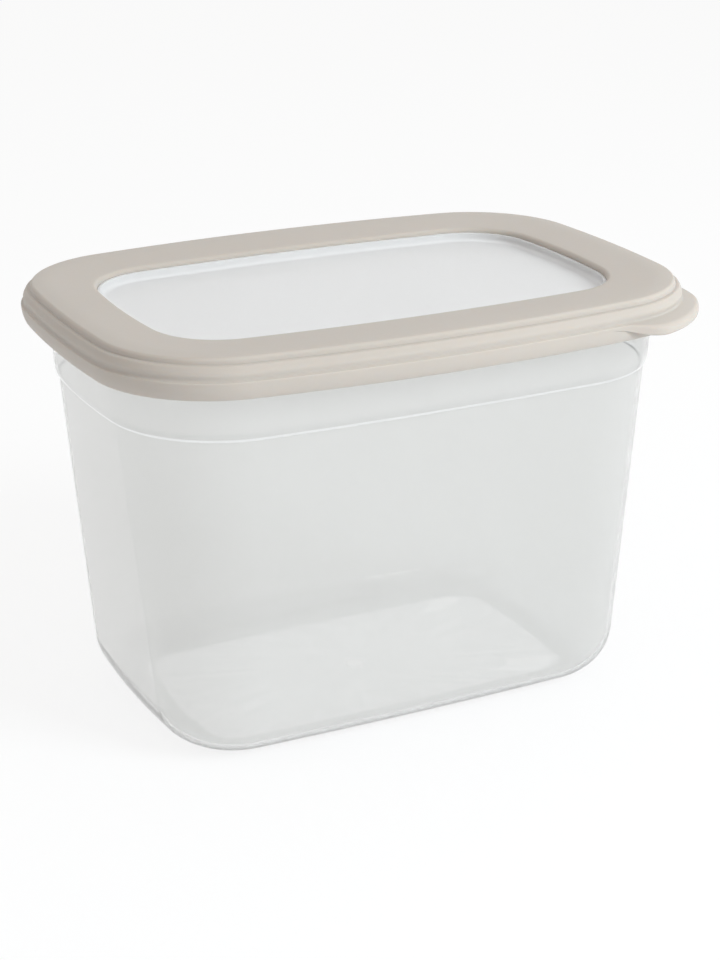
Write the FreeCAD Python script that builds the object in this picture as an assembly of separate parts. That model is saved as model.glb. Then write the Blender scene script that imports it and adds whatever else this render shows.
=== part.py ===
import FreeCAD, Part
import math
import os
from collections import namedtuple

V = FreeCAD.Vector

# A shut food storage box: a clear tub, a stepped lid frame with a finger tab, and a clear
# window panel under the frame's opening. Millimetres, +Z up, the long sides along X.
# The origin is the middle of the flat underside. The tab is on the +X, -Y corner.

# Lid rim, measured over the skirt, without the ledge and the tab
rim_length = 200.0
rim_width = 139.6
rim_corner_radius = 38.7
rim_side_radius = 538.0
rim_end_radius = 396.0

# Tub heights: the seat is measured from the underside, the collar down from the seat and the
# shoulder down from the collar
seat_height = 134.1
collar_height = 20.6
shoulder_rise = 4.2

# Tub outline: how far the mouth stands inside the lid rim, and how the walls run down
overhang_ends = 5.8
overhang_sides = 9.9
mouth_corner_radius = 38.0
mouth_side_radius = 1174.0
mouth_end_radius = 268.0
collar_taper = 0.9
shoulder_step = 1.3
end_draft = 5.4
side_draft = 2.9
base_corner_radius = 26.0
base_side_radius = 1800.0
base_end_radius = 350.0
base_rounding = 17.0
tub_wall = 1.3
floor_thickness = 1.6
gate_radius = 3.2
gate_height = 0.4
gate_rounding = 0.25

# Rim flange of the tub and its turned-down lip
flange_thickness = 1.5
lip_thickness = 1.3
lip_drop = 5.4

# Section of the lid frame: heights are above the foot of its skirt, insets are from the rim
lid_wall = 1.6
skirt_wall = 1.5
skirt_bulge = 0.5
ledge_reach = 0.9
ledge_foot_height = 4.9
ledge_height = 5.7
band_inset = 0.6
tread_height = 10.2
tread_inset = 1.4
riser_inset = 2.7
riser_lean = 0.2
crown_height = 12.9
top_fall = 0.066
core_radius = 8.0
snap_bead_reach = 1.4
snap_bead_height = 1.9
snap_bead_width = 1.2
skirt_foot_rounding = 0.6
skirt_bulge_rounding = 6.0
ledge_rounding = 0.35
band_rounding = 1.4
crown_rounding = 2.2
crease_rounding = 0.3
inside_rounding = 0.4

# Lid opening and the lip round it that holds the window
frame_width_ends = 21.5
frame_width_sides = 23.8
window_corner_radius = 22.6
window_side_radius = 755.0
window_end_radius = 244.0
opening_rounding = 2.2
opening_lip_width = 2.0
opening_lip_depth = 3.0

# Window panel
window_plate = 1.3
window_recess = 4.4
window_curb_wall = 1.0
window_curb_rise = 0.5
window_flange_reach = 3.0
window_flange_thickness = 1.2
window_cove = 1.9

# Sealing wall of the lid, inside the tub's mouth
plug_wall = 1.2
plug_foot_height = 2.2

# Finger tab
tab_reach = 5.2
tab_thickness = 3.2
tab_drop = 0.2
tab_first_angle = -96.0
tab_last_angle = -2.0
tab_end_rounding = 13.0
tab_edge_rounding = 1.2

# Clearances between the pieces
rim_clearance = 0.4
plug_clearance = 0.3
window_clearance = 0.2

# An outline is eight tangent arcs: two ends, two sides and four corners. All five values
# shrink together when it is set inwards, which keeps every arc on its own centre.
Outline = namedtuple("Outline", "half_length half_width corner side end")
Arc = namedtuple("Arc", "centre radius first last")


def inset(outline, distance):
    return Outline(*(value - distance for value in outline))


def outline_arcs(outline):
    """The eight arcs anticlockwise, from the one across +X; angles in radians."""
    end_x = outline.half_length - outline.end
    side_y = outline.half_width - outline.side
    to_end = outline.end - outline.corner
    to_side = outline.side - outline.corner
    between = math.hypot(end_x, side_y)
    along = (between ** 2 + to_end ** 2 - to_side ** 2) / (2 * between)
    across = math.sqrt(to_end ** 2 - along ** 2)
    corner_x = end_x + (-end_x * along - side_y * across) / between
    corner_y = (side_y * along - end_x * across) / between
    low = math.atan2(corner_y, corner_x - end_x)
    high = math.atan2(corner_y - side_y, corner_x)
    turn = math.pi
    return [
        Arc(V(end_x, 0), outline.end, -low, low),
        Arc(V(corner_x, corner_y), outline.corner, low, high),
        Arc(V(0, side_y), outline.side, high, turn - high),
        Arc(V(-corner_x, corner_y), outline.corner, turn - high, turn - low),
        Arc(V(-end_x, 0), outline.end, turn - low, turn + low),
        Arc(V(-corner_x, -corner_y), outline.corner, turn + low, turn + high),
        Arc(V(0, -side_y), outline.side, turn + high, 2 * turn - high),
        Arc(V(corner_x, -corner_y), outline.corner, 2 * turn - high, 2 * turn - low),
    ]


def polar(centre, radius, angle, height):
    return centre + V(radius * math.cos(angle), radius * math.sin(angle), height)


def arc_edge(arc, height):
    angles = (arc.first, (arc.first + arc.last) / 2, arc.last)
    return Part.Arc(*(polar(arc.centre, arc.radius, angle, height) for angle in angles)).toShape()


def outline_wire(outline, height):
    return Part.Wire([arc_edge(arc, height) for arc in outline_arcs(outline)])


def prism(outline, bottom, top):
    return Part.Face(outline_wire(outline, bottom)).extrude(V(0, 0, top - bottom))


def ring(outer, inner, bottom, top):
    return prism(outer, bottom, top).cut(prism(inner, bottom, top))


def loft(levels, ruled=True):
    """A solid through (outline, height) levels."""
    return Part.makeLoft([outline_wire(*level) for level in levels], True, ruled)


def between_outlines(first, second, share):
    return Outline(*(a + (b - a) * share for a, b in zip(first, second)))


def rounded_wire(corners):
    """A closed wire through (x, z, radius) corners, each rounded to its radius."""
    points = [V(x, 0, z) for x, z, _ in corners]
    stops = []
    for number, (_, _, radius) in enumerate(corners):
        here = points[number]
        back = (points[number - 1] - here).normalize()
        ahead = (points[(number + 1) % len(points)] - here).normalize()
        half = back.getAngle(ahead) / 2
        tangent = radius / math.tan(half)
        middle = here + (back + ahead).normalize() * (radius / math.sin(half) - radius)
        stops.append((here + back * tangent, middle, here + ahead * tangent, radius))
    edges = []
    for number, (start, middle, end, radius) in enumerate(stops):
        if radius:
            edges.append(Part.Arc(start, middle, end).toShape())
        edges.append(Part.LineSegment(end, stops[(number + 1) % len(stops)][0]).toShape())
    return Part.Wire(edges)


def swept_ring(outline, section):
    """Turn a section of (inset, height, radius) corners round each arc of the outline."""
    pieces = []
    for arc in outline_arcs(outline):
        corners = [(arc.radius - depth, height, radius) for depth, height, radius in section]
        face = Part.Face(rounded_wire(corners))
        face.rotate(V(0, 0, 0), V(0, 0, 1), math.degrees(arc.first))
        face.translate(arc.centre)
        pieces.append(face.revolve(arc.centre, V(0, 0, 1), math.degrees(arc.last - arc.first)))
    return pieces[0].multiFuse(pieces[1:]).removeSplitter()


def edges_at(shape, test):
    return [edge for edge in shape.Edges if all(test(vertex.Point) for vertex in edge.Vertexes)]


collar_foot_height = seat_height - collar_height
shoulder_foot_height = collar_foot_height - shoulder_rise

# Outlines of the real surfaces, all tied to the lid rim
rim = Outline(rim_length / 2, rim_width / 2, rim_corner_radius, rim_side_radius, rim_end_radius)
mouth = Outline(rim.half_length - overhang_ends, rim.half_width - overhang_sides,
                mouth_corner_radius, mouth_side_radius, mouth_end_radius)
collar_foot = inset(mouth, collar_taper)
wall_top = inset(collar_foot, shoulder_step)
base = Outline(wall_top.half_length - shoulder_foot_height * math.tan(math.radians(end_draft)),
               wall_top.half_width - shoulder_foot_height * math.tan(math.radians(side_draft)),
               base_corner_radius, base_side_radius, base_end_radius)
window = Outline(rim.half_length - frame_width_ends, rim.half_width - frame_width_sides,
                 window_corner_radius, window_side_radius, window_end_radius)

# The swept section ends at the core, where a level plate carries its top face on
core_inset = rim_corner_radius - core_radius
core_height = crown_height - top_fall * (core_inset - riser_inset)
band_inside = band_inset + lid_wall

# Levels of the lid, from the underside of the tub
seat_in_lid = tread_height - lid_wall
skirt_foot = seat_height - seat_in_lid
opening_height = skirt_foot + crown_height - top_fall * (frame_width_sides - riser_inset)
opening_lip_foot = opening_height - opening_lip_depth
window_top = opening_height - window_recess


def tub_block(wall, floor):
    """The tub's outer form set inwards by a wall, from the floor up to the mouth."""
    foot = inset(between_outlines(base, wall_top, floor / shoulder_foot_height), wall)
    body = loft([(foot, floor), (inset(wall_top, wall), shoulder_foot_height)])
    body = body.makeFillet(base_rounding - wall, edges_at(body, lambda p: p.z < floor + 0.01))
    shoulder = loft(shoulder_levels(wall), ruled=False)
    collar = loft([(inset(collar_foot, wall), collar_foot_height), (inset(mouth, wall), seat_height)])
    return body.multiFuse([shoulder, collar])


def shoulder_levels(wall):
    """Levels of a quarter round that carries the wall out to the collar."""
    levels = []
    steps = 4
    for step in range(steps + 1):
        angle = math.pi / 2 * step / steps
        outline = inset(wall_top, wall - shoulder_step * math.sin(angle))
        levels.append((outline, shoulder_foot_height + shoulder_rise * (1 - math.cos(angle))))
    return levels


def rim_flange():
    """The flat flange of the mouth with its turned-down lip, one clearance inside the lid."""
    edge = inset(rim, band_inside + rim_clearance)
    flange = prism(edge, seat_height - flange_thickness, seat_height)
    lip = ring(edge, inset(edge, lip_thickness), seat_height - lip_drop, seat_height)
    return flange.fuse(lip)


def gate_mark():
    """The small moulding mark in the middle of the floor."""
    disc = Part.makeCylinder(gate_radius, gate_height, V(0, 0, floor_thickness))
    return disc.makeFillet(gate_rounding, edges_at(disc, lambda p: p.z > floor_thickness + 0.01))


def make_tub():
    outside = tub_block(0, 0).fuse(rim_flange())
    return outside.cut(tub_block(tub_wall, floor_thickness)).fuse(gate_mark()).removeSplitter()


def frame_section():
    """Outside of the skirt, up over the steps to the opening, and back along the inside."""
    bead_inset = skirt_wall + snap_bead_reach
    riser_inside = riser_inset + lid_wall
    ceiling = crown_height - lid_wall * (1 + top_fall)
    outside = [
        (0, 0, skirt_foot_rounding),
        (-skirt_bulge, ledge_foot_height / 2, skirt_bulge_rounding),
        (0, ledge_foot_height, crease_rounding),
        (-ledge_reach, ledge_foot_height, ledge_rounding),
        (-ledge_reach, ledge_height, ledge_rounding),
        (band_inset, ledge_height, crease_rounding),
        (tread_inset, tread_height, band_rounding),
        (riser_inset, tread_height, crease_rounding),
        (riser_inset + riser_lean, crown_height, crown_rounding),
        (core_inset, core_height, 0),
    ]
    inside = [
        (core_inset, core_height - lid_wall, 0),
        (riser_inside, ceiling, inside_rounding),
        (riser_inside, seat_in_lid, 0),
        (band_inside, seat_in_lid, 0),
        (band_inside, ledge_height - inside_rounding, 0),
        (skirt_wall, ledge_foot_height - inside_rounding, 0),
        (skirt_wall, snap_bead_height + snap_bead_width, crease_rounding),
        (bead_inset, snap_bead_height + snap_bead_width / 2, inside_rounding),
        (skirt_wall, snap_bead_height - snap_bead_width, crease_rounding),
        (skirt_wall, 0, inside_rounding),
    ]
    return [(depth, skirt_foot + height, radius) for depth, height, radius in outside + inside]


def finger_tab():
    """A flat tab that widens the ledge round the +X, -Y corner, with rounded ends and edges."""
    corner = outline_arcs(rim)[-1]
    top = skirt_foot + ledge_height - tab_drop
    bottom = top - tab_thickness
    outer = corner.radius + ledge_reach + tab_reach
    first = math.radians(tab_first_angle)
    last = math.radians(tab_last_angle)
    arc = arc_edge(Arc(corner.centre, outer, first, last), bottom)
    hub = corner.centre + V(0, 0, bottom)
    start = polar(corner.centre, outer, first, bottom)
    end = polar(corner.centre, outer, last, bottom)
    plan = Part.Wire([Part.LineSegment(hub, start).toShape(), arc, Part.LineSegment(end, hub).toShape()])
    plate = Part.Face(plan).extrude(V(0, 0, tab_thickness))
    upright = [edge for edge in plate.Edges
               if abs(edge.tangentAt(edge.FirstParameter).z) > 0.9
               and (edge.CenterOfMass - hub).Length > outer / 2]
    plate = plate.makeFillet(tab_end_rounding, upright)
    rim_edges = [edge for edge in plate.Edges
                 if abs(edge.CenterOfMass.z - top) < 0.01 and not touches(edge, hub)]
    return plate.makeFillet(tab_edge_rounding, rim_edges)


def touches(edge, axis_point):
    return any(math.hypot(v.X - axis_point.x, v.Y - axis_point.y) < 0.01 for v in edge.Vertexes)


def make_lid_frame():
    tab = finger_tab().cut(prism(inset(rim, skirt_wall / 2), 0, seat_height))
    core_top = skirt_foot + core_height
    core = prism(inset(rim, core_inset), core_top - lid_wall, core_top)
    plug_outer = inset(mouth, tub_wall + plug_clearance)
    plug = ring(plug_outer, inset(plug_outer, plug_wall), skirt_foot + plug_foot_height,
                skirt_foot + crown_height - lid_wall)
    lip = ring(inset(window, -opening_lip_width), window, opening_lip_foot,
               opening_height - lid_wall / 2)
    frame = swept_ring(rim, frame_section()).multiFuse([core, tab, plug, lip])
    frame = frame.cut(prism(window, opening_lip_foot - lid_wall, opening_height + lid_wall))
    frame = frame.removeSplitter()
    return frame.makeFillet(opening_rounding, opening_edges(frame))


def opening_edges(frame):
    """The edges where the top face meets the wall of the opening."""
    def on_rim(point):
        inside = abs(point.x) < window.half_length + 0.01 and abs(point.y) < window.half_width + 0.01
        return inside and point.z > opening_height - lid_wall / 3
    return edges_at(frame, on_rim)


def make_lid_window():
    """A shallow tray: a flange under the frame's lip, a curb in the opening and a coved plate."""
    curb = inset(window, window_clearance)
    curb_top = opening_lip_foot + window_curb_rise
    flange = prism(inset(window, -window_flange_reach), opening_lip_foot - window_flange_thickness,
                   opening_lip_foot)
    block = prism(curb, window_top - window_plate, curb_top)
    hollow = prism(inset(curb, window_curb_wall), window_top, curb_top + window_recess)
    hollow = hollow.makeFillet(window_cove, edges_at(hollow, lambda p: p.z < window_top + 0.01))
    return flange.fuse(block).cut(hollow).removeSplitter()


def export(name, shape):
    os.makedirs("parts", exist_ok=True)
    shape.exportStep(os.path.join("parts", name + ".step"))
    print(name, shape.isValid(), len(shape.Solids), round(shape.Volume), shape.BoundBox)


export("tub", make_tub())
export("lid_frame", make_lid_frame())
export("lid_window", make_lid_window())
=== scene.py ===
"""Looks of a shut food storage container: a clear tub, a stepped lid frame with a finger tab
and a milky window panel, on a plain pale floor."""

import math
from collections import namedtuple

import bpy
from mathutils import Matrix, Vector


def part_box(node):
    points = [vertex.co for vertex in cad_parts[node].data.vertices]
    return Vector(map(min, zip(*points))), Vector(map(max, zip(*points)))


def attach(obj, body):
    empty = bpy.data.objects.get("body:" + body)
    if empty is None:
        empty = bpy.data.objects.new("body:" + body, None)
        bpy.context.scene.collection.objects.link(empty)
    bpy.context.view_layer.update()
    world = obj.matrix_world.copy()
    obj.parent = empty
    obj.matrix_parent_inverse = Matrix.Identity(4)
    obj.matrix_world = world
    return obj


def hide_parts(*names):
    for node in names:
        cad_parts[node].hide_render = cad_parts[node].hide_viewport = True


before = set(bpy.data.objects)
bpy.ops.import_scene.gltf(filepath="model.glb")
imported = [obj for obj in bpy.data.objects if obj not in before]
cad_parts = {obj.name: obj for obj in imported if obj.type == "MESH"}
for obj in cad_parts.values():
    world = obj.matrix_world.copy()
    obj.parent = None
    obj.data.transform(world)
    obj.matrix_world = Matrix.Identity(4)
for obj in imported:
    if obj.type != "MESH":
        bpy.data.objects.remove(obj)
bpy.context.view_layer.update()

bl_info = {
    "name": "Food storage container",
    "version": (1, 0, 0),
    "blender": (4, 5, 0),
    "location": "View3D > Sidebar > Container",
    "description": "Builds a lidded food storage container on a pale studio floor",
    "category": "Object",
}

MM = 0.001
QUARTER = math.pi / 2

# Levels read from the CAD model, in metres; its panel's curb stands a little over the foot of
# the lip round the opening
CAD_CURB_RISE = 0.5 * MM
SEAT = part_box("tub")[1].z
SKIRT_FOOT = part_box("lid_frame")[0].z
PANEL_LOW, PANEL_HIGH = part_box("lid_window")
OPENING_LIP_FOOT = PANEL_HIGH.z - CAD_CURB_RISE


# Outlines and rings

# An outline is eight tangent arcs, as in the CAD: two ends, two sides and four corners
Outline = namedtuple("Outline", "half_length half_width corner side end")
Arc = namedtuple("Arc", "x y radius first last steps")

# Points along each arc of an outline, and along a rounded corner of a section
END_STEPS = 16
CORNER_STEPS = 40
SIDE_STEPS = 24
ROUNDING_STEPS = 5


def inset(outline, distance):
    return Outline(*(value - distance for value in outline))


def millimetres(*values):
    return Outline(*(value * MM for value in values))


def outline_arcs(outline):
    """The eight arcs anticlockwise, from the one across +X; angles in radians."""
    end_x = outline.half_length - outline.end
    side_y = outline.half_width - outline.side
    to_end = outline.end - outline.corner
    to_side = outline.side - outline.corner
    between = math.hypot(end_x, side_y)
    along = (between ** 2 + to_end ** 2 - to_side ** 2) / (2 * between)
    across = math.sqrt(to_end ** 2 - along ** 2)
    x = end_x + (-end_x * along - side_y * across) / between
    y = (side_y * along - end_x * across) / between
    low = math.atan2(y, x - end_x)
    high = math.atan2(y - side_y, x)
    turn = math.pi
    return [
        Arc(end_x, 0, outline.end, -low, low, END_STEPS),
        Arc(x, y, outline.corner, low, high, CORNER_STEPS),
        Arc(0, side_y, outline.side, high, turn - high, SIDE_STEPS),
        Arc(-x, y, outline.corner, turn - high, turn - low, CORNER_STEPS),
        Arc(-end_x, 0, outline.end, turn - low, turn + low, END_STEPS),
        Arc(-x, -y, outline.corner, turn + low, turn + high, CORNER_STEPS),
        Arc(0, -side_y, outline.side, turn + high, 2 * turn - high, SIDE_STEPS),
        Arc(x, -y, outline.corner, 2 * turn - high, 2 * turn - low, CORNER_STEPS),
    ]


def outline_rays(outline):
    """(point, outward direction) pairs round an outline; the same count for every outline."""
    rays = []
    for arc in outline_arcs(outline):
        for step in range(arc.steps):
            angle = arc.first + (arc.last - arc.first) * step / arc.steps
            out = Vector((math.cos(angle), math.sin(angle), 0))
            rays.append((Vector((arc.x, arc.y, 0)) + out * arc.radius, out))
    return rays


def ring_at(outline, height):
    """One ring of points; height is a number, or a function of the point."""
    ring = []
    for point, _ in outline_rays(outline):
        z = height(point) if callable(height) else height
        ring.append(Vector((point.x, point.y, z)))
    return ring


def scaled_ring(outline, share, height):
    """A ring drawn in towards the middle, which divides a flat face."""
    return [Vector((point.x * share, point.y * share, height)) for point in ring_at(outline, 0)]


def rounded_path(corners, steps=ROUNDING_STEPS):
    """(inset, height) stops through (inset, height, radius) corners, each turned in steps."""
    stops = []
    for number, (x, z, radius) in enumerate(corners):
        here = Vector((x, z))
        if not radius or number in (0, len(corners) - 1):
            stops.append((x, z))
            continue
        back = (Vector(corners[number - 1][:2]) - here).normalized()
        ahead = (Vector(corners[number + 1][:2]) - here).normalized()
        half = back.angle(ahead) / 2
        centre = here + (back + ahead).normalized() * radius / math.sin(half)
        start = here + back * radius / math.tan(half) - centre
        end = here + ahead * radius / math.tan(half) - centre
        sweep = start.angle_signed(end)
        for step in range(steps + 1):
            turn = -sweep * step / steps
            spoke = Vector((start.x * math.cos(turn) - start.y * math.sin(turn),
                            start.x * math.sin(turn) + start.y * math.cos(turn)))
            stops.append(tuple(centre + spoke))
    return stops


# Meshes

def bands(rings, closed=False):
    """Quads from each ring of points to the next, and if closed from the last to the first."""
    count = len(rings[0])
    pairs = list(zip(range(len(rings)), range(1, len(rings))))
    if closed:
        pairs.append((len(rings) - 1, 0))
    faces = []
    for low, high in pairs:
        for here in range(count):
            there = (here + 1) % count
            faces.append((low * count + here, low * count + there,
                          high * count + there, high * count + here))
    return faces


def last_face(rings):
    """One flat face across the last ring."""
    count = len(rings[0])
    return tuple(range((len(rings) - 1) * count, len(rings) * count))


def new_object(name, rings, faces):
    mesh = bpy.data.meshes.new(name)
    mesh.from_pydata([tuple(point) for ring in rings for point in ring], [], faces)
    mesh.validate()
    made = bpy.data.objects.new(name, mesh)
    bpy.context.scene.collection.objects.link(made)
    return made


def skin(name, rings, closed):
    """A smooth mesh between rings of points. An open one ends in a flat face at each end."""
    faces = bands(rings, closed)
    if not closed:
        faces.append(tuple(reversed(range(len(rings[0])))))
        faces.append(last_face(rings))
    piece = new_object(name, rings, faces)
    piece.data.shade_smooth()
    settle = piece.modifiers.new("even shading", "WEIGHTED_NORMAL")
    settle.mode = "FACE_AREA_WITH_ANGLE"
    settle.weight = 100
    settle.keep_sharp = False
    return piece


def dress(piece, node, material):
    """Finish a new piece: its material, the CAD node it stands for and its body."""
    piece.data.materials.append(material)
    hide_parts(node)
    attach(piece, "root")


# Shader maths

def feed(tree, socket, value):
    """Link a Shade to a node's socket, or set the socket to a plain value."""
    if isinstance(value, Shade):
        tree.links.new(value.socket, socket)
    else:
        socket.default_value = value


class Shade:
    """A socket in a material, with the sums that masks and values need."""

    def __init__(self, tree, socket):
        self.tree = tree
        self.socket = socket

    def _math(self, operation, *values, clamp=False):
        node = self.tree.nodes.new("ShaderNodeMath")
        node.operation = operation
        node.use_clamp = clamp
        for socket, value in zip(node.inputs, values):
            feed(self.tree, socket, value)
        return Shade(self.tree, node.outputs[0])

    def __add__(self, other):
        return self._math("ADD", self, other)

    def __radd__(self, other):
        return self._math("ADD", other, self)

    def __sub__(self, other):
        return self._math("SUBTRACT", self, other)

    def __rsub__(self, other):
        return self._math("SUBTRACT", other, self)

    def __mul__(self, other):
        return self._math("MULTIPLY", self, other)

    def __rmul__(self, other):
        return self._math("MULTIPLY", other, self)

    def __truediv__(self, other):
        return self._math("DIVIDE", self, other)

    def __rtruediv__(self, other):
        return self._math("DIVIDE", other, self)

    def __pow__(self, other):
        return self._math("POWER", self, other)

    def __rpow__(self, other):
        return self._math("POWER", other, self)

    def size(self):
        return self._math("ABSOLUTE", self)

    def at_most_one(self):
        return self._math("ADD", self, 0.0, clamp=True)

    def largest(self, other):
        return self._math("MAXIMUM", self, other)


class Recipe:
    """The nodes of one material, or of the world, under construction."""

    def __init__(self, owner):
        self.owner = owner
        owner.use_nodes = True
        self.tree = owner.node_tree
        self.tree.nodes.clear()

    def node(self, kind, settings=None, sockets=None, output=0):
        """Add a node: its settings first, then the values or links of its sockets."""
        made = self.tree.nodes.new(kind)
        for key, value in (settings or {}).items():
            setattr(made, key, value)
        for key, value in (sockets or {}).items():
            feed(self.tree, made.inputs[key], value)
        return Shade(self.tree, made.outputs[output]) if made.outputs else None

    def place(self):
        """Where a point is, in metres."""
        return self.node("ShaderNodeTexCoord", output="Object")

    def height(self):
        """How high a point is, in metres."""
        return self.node("ShaderNodeSeparateXYZ", sockets={"Vector": self.place()}, output="Z")

    def noise(self, scale, detail=2.0, roughness=0.5, stretch=None):
        """A cloudy pattern from 0 to 1; scale is in patches per metre."""
        where = self.place()
        if stretch:
            where = self.node("ShaderNodeVectorMath", {"operation": "MULTIPLY"},
                              {0: where, 1: stretch})
        return self.node("ShaderNodeTexNoise", sockets={
            "Vector": where, "Scale": scale, "Detail": detail, "Roughness": roughness})

    def blend(self, share, first, second):
        """A mix of two colours; the Mix node's colour sockets go by number."""
        return self.node("ShaderNodeMix", {"data_type": "RGBA"},
                         {0: share, 6: first, 7: second}, output=2)

    def bump(self, height, distance, strength):
        return self.node("ShaderNodeBump", sockets={
            "Height": height, "Distance": distance, "Strength": strength})

    def seen_rays(self):
        """1 for rays from the camera, a mirror or clear plastic, which see the plain white."""
        camera, glossy, through = (self.node("ShaderNodeLightPath", output=name) for name in (
            "Is Camera Ray", "Is Glossy Ray", "Is Transmission Ray"))
        return camera.largest(glossy).largest(through)

    def finish(self, kind, shader):
        """Feed the shader to the output node."""
        self.node(kind, sockets={"Surface": shader})
        return self.owner


def new_material(name):
    return Recipe(bpy.data.materials.new(name))


def tinted(colour, factor):
    return (colour[0] * factor, colour[1] * factor, colour[2] * factor, 1.0)


def band_mask(height, middle, half_width):
    """1 at one height, falling to 0 at half_width above and below it."""
    return (1 - (height - middle).size() / half_width).largest(0.0)


# Materials

BLACK = (0.0, 0.0, 0.0, 1.0)
WHITE = (1.0, 1.0, 1.0, 1.0)
PLASTIC_IOR = 1.49
DEEP_TINT = 0.95

# Clear plastic: patches per metre of each pattern, then how far it acts on gloss and relief
CLOUD_SCALE = 14.0
CLOUD_DULLNESS = 0.03
FLOW_SCALE = 90.0
FLOW_STRETCH = (0.25, 0.25, 1.0)
FLOW_RELIEF = 0.6
SCUFF_SCALE = 900.0
SCUFF_FREE = 0.64
SCUFF_DULLNESS = 0.8
CLEAR_RELIEF = 0.1 * MM
CLEAR_RELIEF_STRENGTH = 0.2

# Painted highlight, with a painted glow, along a step in clear plastic, and the band of painted
# shade that it lies in
STEP_HIGHLIGHT_RISE = 0.4 * MM
STEP_HIGHLIGHT_REACH = 0.6 * MM
STEP_HIGHLIGHT_SOFTNESS = 0.3
PAINTED_STEP_HIGHLIGHT_GLOW = (0.06, 0.067, 0.07, 1.0)
STEP_SHADE_RISE = 1.2 * MM
STEP_SHADE_REACH = 2.2 * MM
PAINTED_STEP_SHADE = 0.9

# Satin plastic: the same, with the light that goes into it and comes out again
DRIFT_SCALE = 18.0
DRIFT_TINT = 0.6
GRAIN_SCALE = 2600.0
GRAIN_TINT = 0.4
GRAIN_DULLNESS = 0.16
GRAIN_RELIEF = 0.7
MOTTLE_SCALE = 700.0
MOTTLE_RELIEF = 0.5
LIGHT_TINT = 1.04
SATIN_ROUGHNESS = 0.44
SATIN_RELIEF_STRENGTH = 0.6
SOFT_SHARE = 0.3
SOFT_DEPTH = 4 * MM
SOFT_SPREAD = (1.0, 0.6, 0.4)


def clear_plastic(name, colour, clearness, roughness, cloudiness, step_height=None):
    """Milky clear polypropylene: a faint cloudiness, flow lines and tiny dust scuffs.

    A step in the wall, if there is one, gets a painted highlight line with a painted glow, in a
    band of painted shade."""
    recipe = new_material(name)
    clouds = recipe.noise(CLOUD_SCALE, detail=3.0)
    flow = recipe.noise(FLOW_SCALE, stretch=FLOW_STRETCH)
    scuffs = (recipe.noise(SCUFF_SCALE, detail=1.0) - SCUFF_FREE).largest(0.0)
    base = recipe.blend(clouds * cloudiness, tinted(colour, 1.0), tinted(colour, DEEP_TINT))
    painted_glow = BLACK
    if step_height is not None:
        height = recipe.height()
        # Mask of the painted highlight along the step
        line = band_mask(height, step_height + STEP_HIGHLIGHT_RISE, STEP_HIGHLIGHT_REACH)
        line = line ** STEP_HIGHLIGHT_SOFTNESS
        # Mask of the band of painted shade round the step, where the colour is darkened
        band = band_mask(height, step_height + STEP_SHADE_RISE, STEP_SHADE_REACH)
        base = recipe.blend(band, base, tinted(colour, PAINTED_STEP_SHADE))
        # The painted highlight whitens the colour and adds a painted glow, though the plastic is
        # no lamp
        base = recipe.blend(line, base, WHITE)
        painted_glow = recipe.blend(line, BLACK, PAINTED_STEP_HIGHLIGHT_GLOW)
    surface = recipe.node("ShaderNodeBsdfPrincipled", sockets={
        "Base Color": base, "Emission Color": painted_glow, "Emission Strength": 1.0,
        "Roughness": (scuffs * SCUFF_DULLNESS + clouds * CLOUD_DULLNESS
                      + roughness).at_most_one(),
        "IOR": PLASTIC_IOR, "Transmission Weight": clearness,
        "Normal": recipe.bump(flow * FLOW_RELIEF + scuffs, CLEAR_RELIEF,
                              CLEAR_RELIEF_STRENGTH)})
    return recipe.finish("ShaderNodeOutputMaterial", surface)


def satin_plastic(name, colour, grain):
    """Satin polypropylene with a fine moulded grain and a slight drift of colour."""
    recipe = new_material(name)
    drift = recipe.noise(DRIFT_SCALE, detail=3.0)
    fine = recipe.noise(GRAIN_SCALE, detail=3.0, roughness=0.65)
    mottle = recipe.noise(MOTTLE_SCALE)
    base = recipe.blend((drift * DRIFT_TINT + fine * GRAIN_TINT).at_most_one(),
                        tinted(colour, LIGHT_TINT), tinted(colour, DEEP_TINT))
    surface = recipe.node("ShaderNodeBsdfPrincipled", sockets={
        "Base Color": base,
        "Roughness": (fine * GRAIN_DULLNESS + SATIN_ROUGHNESS).at_most_one(),
        "IOR": PLASTIC_IOR, "Subsurface Weight": SOFT_SHARE, "Subsurface Scale": SOFT_DEPTH,
        "Subsurface Radius": SOFT_SPREAD,
        "Normal": recipe.bump(fine * GRAIN_RELIEF + mottle * MOTTLE_RELIEF, grain,
                              SATIN_RELIEF_STRENGTH)})
    return recipe.finish("ShaderNodeOutputMaterial", surface)


# Sizes and colours

def length(name, description, default, low, high, precision=4):
    return bpy.props.FloatProperty(
        name=name, description=description, default=default, min=low, max=high,
        precision=precision, subtype="DISTANCE", unit="LENGTH")


def colour_of(name, description, default):
    return bpy.props.FloatVectorProperty(
        name=name, description=description, default=default, min=0, max=1, size=3,
        subtype="COLOR")


def clear_share(default):
    return bpy.props.FloatProperty(
        name="Clearness", description="Share of light that passes each surface",
        default=default, min=0, max=1, subtype="FACTOR")


class TubProperties(bpy.types.PropertyGroup):
    wall: length("Wall", "Thickness of the tub's wall", 1.3 * MM, 0.6 * MM, 3 * MM)
    floor: length("Floor", "Thickness of the tub's floor", 1.6 * MM, 0.6 * MM, 4 * MM)
    base_rounding: length(
        "Base rounding", "Radius between the floor and the walls", 17 * MM, 6 * MM, 24 * MM)
    colour: colour_of("Tint", "Tint of the clear plastic", (0.925, 0.929, 0.922))
    clearness: clear_share(0.86)


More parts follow.
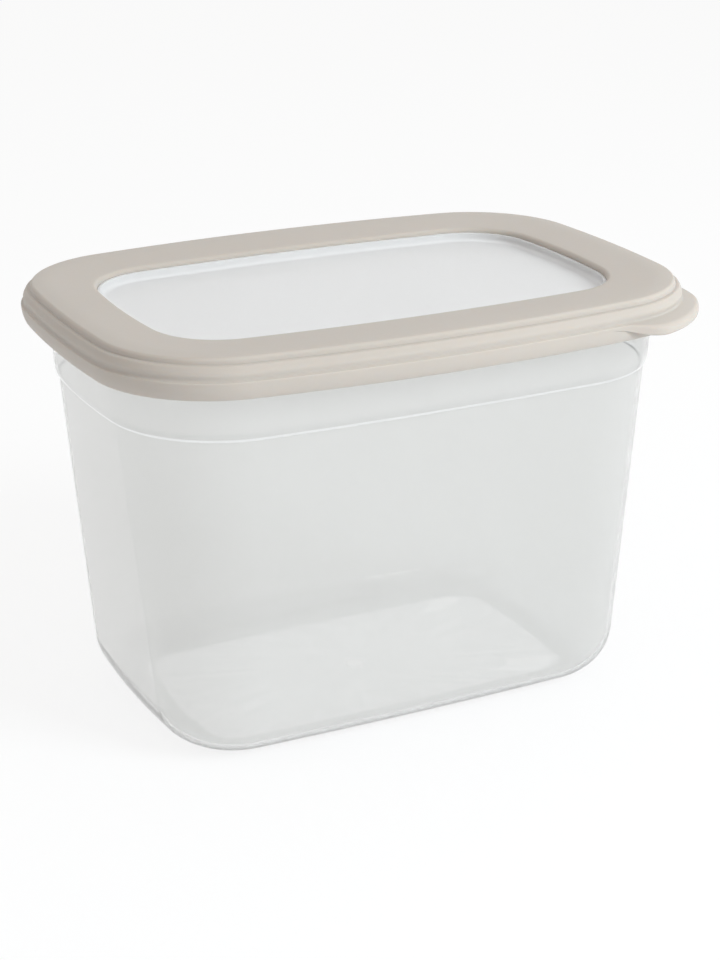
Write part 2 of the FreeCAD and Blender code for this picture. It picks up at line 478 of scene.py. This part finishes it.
class LidFrameProperties(bpy.types.PropertyGroup):
    tab_reach: length(
        "Tab reach", "How far the finger tab stands out past the ledge", 4.7 * MM, 0, 8 * MM)
    opening_rounding: length(
        "Opening rounding", "Radius of the edge round the window", 1.5 * MM, 0.3 * MM, 3 * MM)
    colour: colour_of("Colour", "Colour of the satin plastic", (0.485, 0.447, 0.408))
    grain: length("Grain", "Depth of the moulded grain", 0.06 * MM, 0, 0.5 * MM, precision=5)


class LidWindowProperties(bpy.types.PropertyGroup):
    cove: length(
        "Cove", "Radius where the panel turns up to its curb", 2.3 * MM, 0.5 * MM, 2.5 * MM)
    colour: colour_of("Tint", "Tint of the milky panel", (0.975, 0.98, 0.99))
    clearness: clear_share(0.42)


class StageProperties(bpy.types.PropertyGroup):
    floor_colour: colour_of("Floor", "Colour of the floor and backdrop", (0.95, 0.965, 0.985))
    key_strength: bpy.props.FloatProperty(
        name="Key lamp", description="Strength of the large soft lamp at the front right",
        default=14.5, min=0, soft_max=100, unit="POWER")
    glint_strength: bpy.props.FloatProperty(
        name="Glint lamp", description="Strength of the narrow lamp that gives sharp highlights",
        default=0.8, min=0, soft_max=10, unit="POWER")
    sky_strength: bpy.props.FloatProperty(
        name="Room light", description="Strength of the even light from all round",
        default=0.69, min=0, soft_max=2)
    lens: bpy.props.FloatProperty(
        name="Lens", description="Focal length of the camera in millimetres", default=77.9,
        min=20, max=200)


# The tub

COLLAR_HEIGHT = 20.6 * MM
COLLAR_LEAN = 0.9 * MM
SHOULDER_WIDTH = 1.3 * MM
SHOULDER_RISE = 4.2 * MM
END_DRAFT = math.radians(5.4)
SIDE_DRAFT = math.radians(2.9)

# Half length, half width, then the radii of the corners, the sides and the ends
RIM = millimetres(100.0, 69.8, 38.7, 538.0, 396.0)
MOUTH = millimetres(94.2, 59.9, 38.0, 1174.0, 268.0)
COLLAR_FOOT = inset(MOUTH, COLLAR_LEAN)
WALL_TOP = inset(COLLAR_FOOT, SHOULDER_WIDTH)
COLLAR_FOOT_HEIGHT = SEAT - COLLAR_HEIGHT
WALL_TOP_HEIGHT = COLLAR_FOOT_HEIGHT - SHOULDER_RISE
BASE_RADII = millimetres(0, 0, 26.0, 1800.0, 350.0)
BASE = BASE_RADII._replace(
    half_length=WALL_TOP.half_length - WALL_TOP_HEIGHT * math.tan(END_DRAFT),
    half_width=WALL_TOP.half_width - WALL_TOP_HEIGHT * math.tan(SIDE_DRAFT))

BASE_STEPS = 14
WALL_STEPS = 6
SHOULDER_STEPS = 8

FLANGE_THICKNESS = 1.5 * MM
NECK_ROUNDING = 0.4 * MM
LIP_THICKNESS = 1.3 * MM
LIP_DROP = 5.4 * MM
LIP_INSET = 2.6 * MM
LIP_FOOT_ROUNDING = 0.3 * MM
LIP_TOP_ROUNDING = 0.5 * MM
LIP_RUN = 4 * MM
MOUTH_EDGE = 0.5 * MM

# The round moulding mark in the middle of the floor, raised inside and sunk outside
GATE_RADIUS = 3.2 * MM
GATE_RISE = 0.4 * MM
GATE_SINK = -0.15 * MM
GATE_SURROUND = 3
GATE_FOOT = 1.02
GATE_TOP = 0.4
GATE_STEPS = 4
FLOOR_SHARES = (0.04, 0.3, 0.6)


def shell_rings(wall, floor, base_rounding):
    """Rings of one face of the tub's wall, from the flat of the floor up to the collar."""
    share = floor / WALL_TOP_HEIGHT
    foot = inset(Outline(*(a + (b - a) * share for a, b in zip(BASE, WALL_TOP))), wall)
    radius = base_rounding - wall
    climb = WALL_TOP_HEIGHT - floor
    feet = outline_rays(foot)
    tops = outline_rays(inset(WALL_TOP, wall))
    rings = [[] for _ in range(BASE_STEPS + 1 + WALL_STEPS)]
    for (low, out), (high, _) in zip(feet, tops):
        run = high - low
        lean = math.atan2(run.dot(out), climb)
        drift = run - out * run.dot(out)
        for step in range(BASE_STEPS + 1):
            turn = -QUARTER + (QUARTER - lean) * step / BASE_STEPS
            reach = -radius * (1 - math.sin(lean)) / math.cos(lean) + radius * math.cos(turn)
            z = radius + radius * math.sin(turn)
            point = low + out * reach + drift * (z / climb)
            rings[step].append(Vector((point.x, point.y, floor + z)))
        start = rings[BASE_STEPS][-1].z
        for step in range(1, WALL_STEPS + 1):
            z = start + (WALL_TOP_HEIGHT - start) * step / WALL_STEPS
            point = low + run * ((z - floor) / climb)
            rings[BASE_STEPS + step].append(Vector((point.x, point.y, z)))
    for step in range(1, SHOULDER_STEPS + 1):
        angle = QUARTER * step / SHOULDER_STEPS
        outline = inset(WALL_TOP, wall - SHOULDER_WIDTH * math.sin(angle))
        rings.append(ring_at(outline, WALL_TOP_HEIGHT + SHOULDER_RISE * (1 - math.cos(angle))))
    return rings


def floor_rings(ring, rise):
    """Rings that carry a flat floor in to the moulding mark at its middle."""
    height = ring[0].z
    angles = [math.atan2(point.y, point.x) for point in ring]

    def disc(radius, lift):
        return [Vector((radius * math.cos(a), radius * math.sin(a), height + lift))
                for a in angles]

    surround = disc(GATE_RADIUS * GATE_SURROUND, 0)
    rings = [[a.lerp(b, share) for a, b in zip(ring, surround)] for share in FLOOR_SHARES]
    rings.append(surround)
    rings.append(disc(GATE_RADIUS * GATE_FOOT, 0))
    for step in range(GATE_STEPS + 1):
        angle = QUARTER * step / GATE_STEPS
        rings.append(disc(GATE_RADIUS - rise * (1 - math.cos(angle)), rise * math.sin(angle)))
    rings.append(disc(GATE_RADIUS * GATE_TOP, rise))
    return rings


def tub_rings(size):
    """From the middle of the underside, out, up, over the flange and back down inside."""
    outside = shell_rings(0, 0, size.base_rounding)
    inside = shell_rings(size.wall, size.floor, size.base_rounding)
    under = SEAT - FLANGE_THICKNESS
    rings = list(reversed(floor_rings(outside[0], GATE_SINK))) + outside
    rings.append(ring_at(MOUTH, under - NECK_ROUNDING))
    rings.append(ring_at(inset(MOUTH, -NECK_ROUNDING), under))
    inner_lip = inset(RIM, LIP_INSET + LIP_THICKNESS)
    lip_foot = SEAT - LIP_DROP
    for depth, height in rounded_path([
            (0, under, 0), (0, lip_foot, LIP_FOOT_ROUNDING),
            (-LIP_THICKNESS, lip_foot, LIP_FOOT_ROUNDING),
            (-LIP_THICKNESS, SEAT, LIP_TOP_ROUNDING), (LIP_RUN, SEAT, 0)]):
        rings.append(ring_at(inset(inner_lip, depth), height))
    rings.append(ring_at(inset(MOUTH, size.wall - MOUTH_EDGE), SEAT))
    rings.append(ring_at(inset(MOUTH, size.wall), SEAT - MOUTH_EDGE))
    return rings + list(reversed(inside)) + floor_rings(inside[0], GATE_RISE)


class ContainerTub(bpy.types.Operator):
    """Build the clear tub with its stepped collar and rounded base"""
    bl_idname = "container.make_tub"
    bl_label = "Make the tub"

    def execute(self, context):
        size = context.scene.container_tub
        piece = skin("clear_tub", tub_rings(size), closed=False)
        dress(piece, "tub", clear_plastic("clear_tub_plastic", size.colour, size.clearness,
                                          roughness=0.035, cloudiness=0.5,
                                          step_height=WALL_TOP_HEIGHT))
        return {"FINISHED"}


# The lid frame: heights are over the foot of its skirt, depths are in from its rim

SKIRT_WALL = 1.5 * MM
SKIRT_BULGE = 0.3 * MM
SKIRT_FOOT_INSET = 0.5 * MM
SKIRT_START = 0.6 * MM
SKIRT_STEPS = 8
LEDGE_FOOT = 4.9 * MM
LEDGE_TOP = 5.7 * MM
LEDGE_REACH = 0.95 * MM
LEDGE_EDGE = 0.35 * MM
LEDGE_UNDERCUT = 0.05 * MM
LEDGE_BACK = 0.2 * MM
LEDGE_SLOPE = 0.25 * MM
LEDGE_BACK_ROUNDING = 0.8 * MM
BAND_BULGE = 0.3 * MM
BAND_MIDDLE = 7.9 * MM
BAND_ROUNDING = 2.2 * MM
TREAD = 10.2 * MM
TREAD_EDGE = 0.9 * MM
TREAD_ROUNDING = 1.0 * MM
RISER = 2.1 * MM
RISER_ROUNDING = 0.35 * MM
EDGE_INSET = 2.5 * MM
EDGE_HEIGHT = 12.1 * MM
EDGE_ROUNDING = 1.1 * MM
CROWN = 12.38 * MM
CROWN_INSET = 7.0 * MM
CROWN_ROUNDING = 30 * MM
TOP_START = 12 * MM
TOP_FALL = 0.066
TOP_SLOPE_LENGTH = math.hypot(1, TOP_FALL)
TOP_SHARES = (0.03, 0.25, 0.5, 0.75, 0.97)

# The finger tab: angles round the centre of the rim's corner towards +X -Y
TAB_THICKNESS = 3.4 * MM
TAB_DROP = 1.1 * MM
TAB_EDGE = 1.9 * MM
TAB_FOOT_ROUNDING = 1.0 * MM
TAB_FOOT_HASTE = 0.4
TAB_FIRST = math.radians(-94)
TAB_LAST = math.radians(-4)
TAB_BLEND = math.radians(24)
TAB_REGION = 20 * MM

# The opening, and the inside from the opening to the foot of the skirt
WINDOW = millimetres(78.5, 46.0, 22.6, 755.0, 244.0)
OPENING_STEPS = 8
OPENING_LIP_WIDTH = 2.0 * MM
OPENING_LIP_EDGE = 0.3 * MM
LID_WALL = 1.6 * MM
PLUG_CLEARANCE = 1.6 * MM
PLUG_WALL = 1.2 * MM
PLUG_FOOT = 2.2 * MM
PLUG_ROUNDING = 0.4 * MM
PLUG_ROOT = 0.1 * MM
SEAT_START = 10.0 * MM
SEAT_INNER = 4.3 * MM
SEAT_OUTER = 2.2 * MM
UNDERCUT_FOOT = 5.3 * MM
UNDERCUT_RAMP = 4.5 * MM
UNDERCUT_ROUNDING = 0.2 * MM
BEAD_TOP = 3.1 * MM
BEAD_PEAK = 2.5 * MM
BEAD_FOOT = 0.7 * MM
BEAD_INSET = 2.9 * MM
BEAD_ROUNDING = 0.4 * MM
BEAD_ROOT_ROUNDING = 0.3 * MM
FOOT_ROUNDING = 0.4 * MM
FOOT_RUN_OUT = 0.35 * MM
FOOT_RUN_UP = 2 * MM


def rim_depth(point):
    """How far a point lies inside the lid's rim."""
    for arc in outline_arcs(RIM)[1::2]:
        beyond_x = (point.x - arc.x) * math.copysign(1, arc.x)
        beyond_y = (point.y - arc.y) * math.copysign(1, arc.y)
        if beyond_x > 0 and beyond_y > 0:
            angle = math.atan2(point.y - arc.y, point.x - arc.x) % (2 * math.pi)
            if arc.first < angle < arc.last:
                return arc.radius - math.hypot(point.x - arc.x, point.y - arc.y)
    return min(arc.radius - math.hypot(point.x - arc.x, point.y - arc.y)
               for arc in outline_arcs(RIM)[0::2])


def top_height(point):
    """Height of the lid's sloping top face over the foot of its skirt."""
    return CROWN - TOP_FALL * (rim_depth(point) - CROWN_INSET)


def skirt_depth(height):
    """Inset of the skirt's outer face, which leans out to the ledge and bulges a little."""
    share = height / LEDGE_FOOT
    lean = SKIRT_FOOT_INSET - (SKIRT_FOOT_INSET + LEDGE_REACH - LEDGE_UNDERCUT) * share
    return lean - SKIRT_BULGE * math.sin(share * math.pi)


def tab_share(point):
    """From 0 off the finger tab to 1 on it, by the angle round the tab's corner."""
    corner = outline_arcs(RIM)[-1]
    if point.x < corner.x - TAB_REGION or point.y > corner.y + TAB_REGION:
        return 0.0
    angle = math.atan2(point.y - corner.y, point.x - corner.x)
    rise = min(max((angle - TAB_FIRST) / TAB_BLEND, 0), 1)
    fall = min(max((TAB_LAST - angle) / TAB_BLEND, 0), 1)
    share = min(rise, fall)
    return share * share * (3 - 2 * share)


def outer_section(share, tab_reach):
    """(depth, height) stops up the skirt, over the ledge and band and on to the top face.

    share goes from the plain ledge at 0 to the finger tab at 1."""
    foot = LEDGE_FOOT
    foot += (LEDGE_TOP - TAB_DROP - TAB_THICKNESS - LEDGE_FOOT) * share ** TAB_FOOT_HASTE
    top = LEDGE_TOP - TAB_DROP * share
    reach = LEDGE_REACH + tab_reach * share
    edge = LEDGE_EDGE + (TAB_EDGE - LEDGE_EDGE) * share
    skirt = []
    for step in range(SKIRT_STEPS + 1):
        height = SKIRT_START + (foot - SKIRT_START) * step / SKIRT_STEPS
        skirt.append((skirt_depth(height), height))
    return skirt + rounded_path([
        (skirt[-1][0], foot, 0),
        (-reach, foot, LEDGE_UNDERCUT + TAB_FOOT_ROUNDING * share),
        (-reach, top, edge),
        (LEDGE_BACK, LEDGE_TOP + LEDGE_SLOPE, LEDGE_BACK_ROUNDING),
        (-BAND_BULGE, BAND_MIDDLE, BAND_ROUNDING),
        (TREAD_EDGE, TREAD, TREAD_ROUNDING),
        (RISER, TREAD, RISER_ROUNDING),
        (EDGE_INSET, EDGE_HEIGHT, EDGE_ROUNDING),
        (CROWN_INSET, CROWN, CROWN_ROUNDING),
        (TOP_START, CROWN - TOP_FALL * (TOP_START - CROWN_INSET), 0),
    ])[1:-1]


def outer_rings(tab_reach):
    """The outer face from the skirt to the crown; its ledge widens into the finger tab."""
    columns = []
    for point, out in outline_rays(RIM):
        column = []
        for depth, height in outer_section(tab_share(point), tab_reach):
            spot = point - out * depth
            column.append(Vector((spot.x, spot.y, SKIRT_FOOT + height)))
        columns.append(column)
    return [list(ring) for ring in zip(*columns)]


def top_rings(first, opening_rounding):
    """The sloping top face from the crown to the window, and the rounded edge there."""
    lean = math.atan(TOP_FALL)
    radius = opening_rounding
    rounded = []
    for step in range(OPENING_STEPS + 1):
        turn = lean + (QUARTER - lean) * step / OPENING_STEPS
        ring = []
        for point, out in outline_rays(WINDOW):
            level = SKIRT_FOOT + top_height(point)
            centre = level + TOP_FALL * radius - radius * TOP_SLOPE_LENGTH
            spot = point + out * radius * (1 - math.sin(turn))
            ring.append(Vector((spot.x, spot.y, centre + radius * math.cos(turn))))
        rounded.append(ring)
    rings = []
    for share in TOP_SHARES:
        ring = [a.lerp(b, share) for a, b in zip(first, rounded[0])]
        for spot in ring:
            spot.z = SKIRT_FOOT + top_height(spot)
        rings.append(ring)
    return rings + rounded


def under_ring(outline, extra=0.0):
    """A ring on the underside of the lid's top, or a little below it."""
    return ring_at(outline, lambda point: (
        SKIRT_FOOT + top_height(point) - LID_WALL * TOP_SLOPE_LENGTH - extra))


def plug_rings():
    """The ring that reaches down into the tub's mouth, from its inner face to its outer."""
    outer = inset(MOUTH, PLUG_CLEARANCE)
    inner = inset(outer, PLUG_WALL)
    foot = SKIRT_FOOT + PLUG_FOOT
    return [
        under_ring(inset(inner, PLUG_ROUNDING)),
        under_ring(inner, PLUG_ROUNDING),
        ring_at(inner, foot + PLUG_ROUNDING),
        ring_at(inset(inner, -PLUG_ROUNDING), foot),
        ring_at(inset(outer, PLUG_ROUNDING), foot),
        ring_at(outer, foot + PLUG_ROUNDING),
        under_ring(outer, PLUG_ROOT),
    ]


def lid_frame_rings(size):
    """Round the whole section: outside, top, opening, underside, plug ring, seat and bead."""
    rings = outer_rings(size.tab_reach)
    rings += top_rings(rings[-1], size.opening_rounding)
    rings.append(ring_at(WINDOW, OPENING_LIP_FOOT + OPENING_LIP_EDGE))
    rings.append(ring_at(inset(WINDOW, -OPENING_LIP_EDGE), OPENING_LIP_FOOT))
    lip_back = inset(WINDOW, -OPENING_LIP_WIDTH)
    rings.append(ring_at(lip_back, OPENING_LIP_FOOT))
    rings.append(under_ring(lip_back))
    rings += plug_rings()
    seat = TREAD - LID_WALL
    for depth, height in rounded_path([
            (SEAT_INNER, SEAT_START, 0), (SEAT_INNER, seat, 0), (SEAT_OUTER, seat, 0),
            (SEAT_OUTER, UNDERCUT_FOOT, UNDERCUT_ROUNDING),
            (SKIRT_WALL, UNDERCUT_RAMP, UNDERCUT_ROUNDING),
            (SKIRT_WALL, BEAD_TOP, BEAD_ROOT_ROUNDING), (BEAD_INSET, BEAD_PEAK, BEAD_ROUNDING),
            (SKIRT_WALL, BEAD_FOOT, BEAD_ROOT_ROUNDING), (SKIRT_WALL, 0, FOOT_ROUNDING),
            (SKIRT_FOOT_INSET, 0, FOOT_ROUNDING),
            (SKIRT_FOOT_INSET - FOOT_RUN_OUT, FOOT_RUN_UP, 0)])[:-2]:
        rings.append(ring_at(inset(RIM, depth), SKIRT_FOOT + height))
    return rings


class ContainerLidFrame(bpy.types.Operator):
    """Build the stepped lid frame with its finger tab and window opening"""
    bl_idname = "container.make_lid_frame"
    bl_label = "Make the lid frame"

    def execute(self, context):
        size = context.scene.container_lid_frame
        piece = skin("lid_frame_shell", lid_frame_rings(size), closed=True)
        dress(piece, "lid_frame", satin_plastic("satin_lid_plastic", size.colour, size.grain))
        return {"FINISHED"}


# The window panel

PLATE = 1.3 * MM
PLATE_EDGE = 0.4 * MM
PLATE_RUN_UNDER = 3 * MM
PLATE_RUN_OVER = 6 * MM
PLATE_SHARES_UNDER = (0.35, 0.7, 0.92)
PLATE_SHARES_OVER = (0.93, 0.7, 0.35)
CURB_GAP = 0.02 * MM
CURB_WALL = 1.0 * MM
CURB_RISE = 9.8 * MM
CURB_EDGE = 0.25 * MM
CURB_STEPS = 8
PANEL_FLANGE = 1.2 * MM
FLANGE_REACH = 3.0 * MM
FLANGE_ROOT = 2.9 * MM
FLANGE_EDGE = 0.3 * MM


def lid_window_rings(size):
    """From the middle of the underside, out round the flange, over the curb and back in."""
    curb = inset(WINDOW, CURB_GAP)
    flange = inset(WINDOW, -FLANGE_REACH)
    low = PANEL_LOW.z
    top = low + PLATE
    under = OPENING_LIP_FOOT - PANEL_FLANGE
    curb_top = SKIRT_FOOT + CURB_RISE
    rings = [scaled_ring(curb, share, low) for share in PLATE_SHARES_UNDER]
    for depth, height in rounded_path([
            (PLATE_RUN_UNDER, low, 0), (0, low, PLATE_EDGE), (0, under, 0),
            (-FLANGE_ROOT, under, 0)])[1:]:
        rings.append(ring_at(inset(curb, depth), height))
    rings.append(ring_at(flange, under + FLANGE_EDGE))
    rings.append(ring_at(flange, OPENING_LIP_FOOT - FLANGE_EDGE))
    rings.append(ring_at(inset(flange, FLANGE_EDGE), OPENING_LIP_FOOT))
    for depth, height in rounded_path([
            (0, OPENING_LIP_FOOT, 0), (0, curb_top, CURB_EDGE), (CURB_WALL, curb_top, CURB_EDGE),
            (CURB_WALL, top, size.cove), (PLATE_RUN_OVER, top, 0)], CURB_STEPS)[:-1]:
        rings.append(ring_at(inset(curb, depth), height))
    hollow = inset(curb, CURB_WALL)
    return rings + [scaled_ring(hollow, share, top) for share in PLATE_SHARES_OVER]


class ContainerLidWindow(bpy.types.Operator):
    """Build the milky window panel under the lid frame's opening"""
    bl_idname = "container.make_lid_window"
    bl_label = "Make the window panel"

    def execute(self, context):
        size = context.scene.container_lid_window
        piece = skin("lid_window_panel", lid_window_rings(size), closed=False)
        dress(piece, "lid_window", clear_plastic("milky_panel_plastic", size.colour,
                                                 size.clearness, roughness=0.3,
                                                 cloudiness=0.8))
        return {"FINISHED"}


# The stage

CAMERA_PLACE = Vector((-0.2856, -0.5759, 0.3121))
CAMERA_AIM = Vector((0.00223, 0.0, 0.06756))
FAR_LIMIT = 50

FLOOR_RADIUS = 4.0
FLOOR_RINGS = (1.0, 0.5, 0.2, 0.05)
FLOOR_POINTS = 96
FLOOR_GRAIN_SCALE = 60.0
FLOOR_GRAIN_SHARE = 0.15
FLOOR_TINT = 0.97
FLOOR_WHITENESS = 0.84
WARM_ROOM = (1.0, 0.968, 0.93, 1.0)

LAMP_AIM = Vector((0, 0, 0.08))
KEY_PLACE = Vector((0.66, -0.98, 0.78))
KEY_SIZE = (0.6, 0.6)
KEY_COLOUR = (0.9, 0.97, 1.0)
GLINT_PLACE = Vector((0.777, -1.09, 0.873))
GLINT_SIZE = (0.035, 0.6)
GLINT_COLOUR = (1.0, 1.0, 1.0)


def floor_material(colour):
    """A pale floor that keeps the soft shadow and shows near white to the camera."""
    recipe = new_material("pale_floor")
    grain = recipe.noise(FLOOR_GRAIN_SCALE)
    base = recipe.blend(grain * FLOOR_GRAIN_SHARE, tinted(colour, 1.0),
                        tinted(colour, FLOOR_TINT))
    matt = recipe.node("ShaderNodeBsdfDiffuse", sockets={"Color": base})
    white = recipe.node("ShaderNodeEmission", sockets={"Color": WHITE, "Strength": 1.0})
    share = recipe.seen_rays() * FLOOR_WHITENESS
    mixed = recipe.node("ShaderNodeMixShader", sockets={0: share, 1: matt, 2: white})
    return recipe.finish("ShaderNodeOutputMaterial", mixed)


def lay_floor(colour):
    """A round pale floor that reaches past the view."""
    circle = [2 * math.pi * number / FLOOR_POINTS for number in range(FLOOR_POINTS)]
    rings = [[Vector((math.cos(angle), math.sin(angle), 0)) * FLOOR_RADIUS * share
              for angle in circle] for share in FLOOR_RINGS]
    floor = new_object("studio_floor", rings, bands(rings) + [last_face(rings)])
    floor.data.materials.append(floor_material(colour))


def light_room(strength):
    """Warm, even light from all round, on a background that is seen as white."""
    world = bpy.data.worlds.new("white_studio")
    bpy.context.scene.world = world
    recipe = Recipe(world)
    seen = recipe.seen_rays()
    white = recipe.node("ShaderNodeBackground", sockets={
        "Color": recipe.blend(seen, WARM_ROOM, WHITE), "Strength": seen + (1 - seen) * strength})
    recipe.finish("ShaderNodeOutputWorld", white)


def aim(name, data, place, target):
    """Place a lamp or a camera so that it looks at the target."""
    holder = bpy.data.objects.new(name, data)
    holder.location = place
    holder.rotation_euler = (target - place).to_track_quat("-Z", "Y").to_euler()
    bpy.context.scene.collection.objects.link(holder)
    return holder


def lamp(name, place, size, strength, colour, mirrored):
    """An area lamp aimed at the container; a mirrored one shows in glossy surfaces."""
    light = bpy.data.lights.new(name, "AREA")
    light.shape = "RECTANGLE"
    light.size, light.size_y = size
    light.energy = strength
    light.color = colour
    holder = aim(name, light, place, LAMP_AIM)
    holder.visible_glossy = mirrored
    holder.visible_transmission = mirrored


class ContainerStage(bpy.types.Operator):
    """Lay the pale floor and set the soft lamps, the white room and the camera"""
    bl_idname = "container.make_stage"
    bl_label = "Make the stage"

    def execute(self, context):
        stage = context.scene.container_stage
        context.scene.view_settings.view_transform = "Standard"
        lay_floor(stage.floor_colour)
        light_room(stage.sky_strength)
        lamp("key_lamp", KEY_PLACE, KEY_SIZE, stage.key_strength, KEY_COLOUR, mirrored=False)
        lamp("glint_lamp", GLINT_PLACE, GLINT_SIZE, stage.glint_strength, GLINT_COLOUR,
             mirrored=True)
        camera = bpy.data.cameras.new("camera")
        camera.lens = stage.lens
        camera.clip_end = FAR_LIMIT
        context.scene.camera = aim("camera", camera, CAMERA_PLACE, CAMERA_AIM)
        return {"FINISHED"}


# The add-on

# Each group of sizes with the class that holds it and the operator that builds from it
GROUPS = (
    ("container_tub", TubProperties, ContainerTub),
    ("container_lid_frame", LidFrameProperties, ContainerLidFrame),
    ("container_lid_window", LidWindowProperties, ContainerLidWindow),
    ("container_stage", StageProperties, ContainerStage),
)


class ContainerPanel(bpy.types.Panel):
    """Sizes and colours of the container"""
    bl_idname = "VIEW3D_PT_container"
    bl_label = "Food storage container"
    bl_space_type = "VIEW_3D"
    bl_region_type = "UI"
    bl_category = "Container"

    def draw(self, context):
        for group, _, operator in GROUPS:
            box = self.layout.box()
            properties = getattr(context.scene, group)
            for name in properties.bl_rna.properties.keys():
                if name not in ("rna_type", "name"):
                    box.prop(properties, name)
            box.operator(operator.bl_idname)


def register():
    for group, properties, operator in GROUPS:
        bpy.utils.register_class(properties)
        bpy.utils.register_class(operator)
        setattr(bpy.types.Scene, group, bpy.props.PointerProperty(type=properties))
    bpy.utils.register_class(ContainerPanel)


def unregister():
    bpy.utils.unregister_class(ContainerPanel)
    for group, properties, operator in reversed(GROUPS):
        delattr(bpy.types.Scene, group)
        bpy.utils.unregister_class(operator)
        bpy.utils.unregister_class(properties)


def main():
    register()
    bpy.ops.container.make_tub()
    bpy.ops.container.make_lid_frame()
    bpy.ops.container.make_lid_window()
    bpy.ops.container.make_stage()


if __name__ == "__main__":
    main()
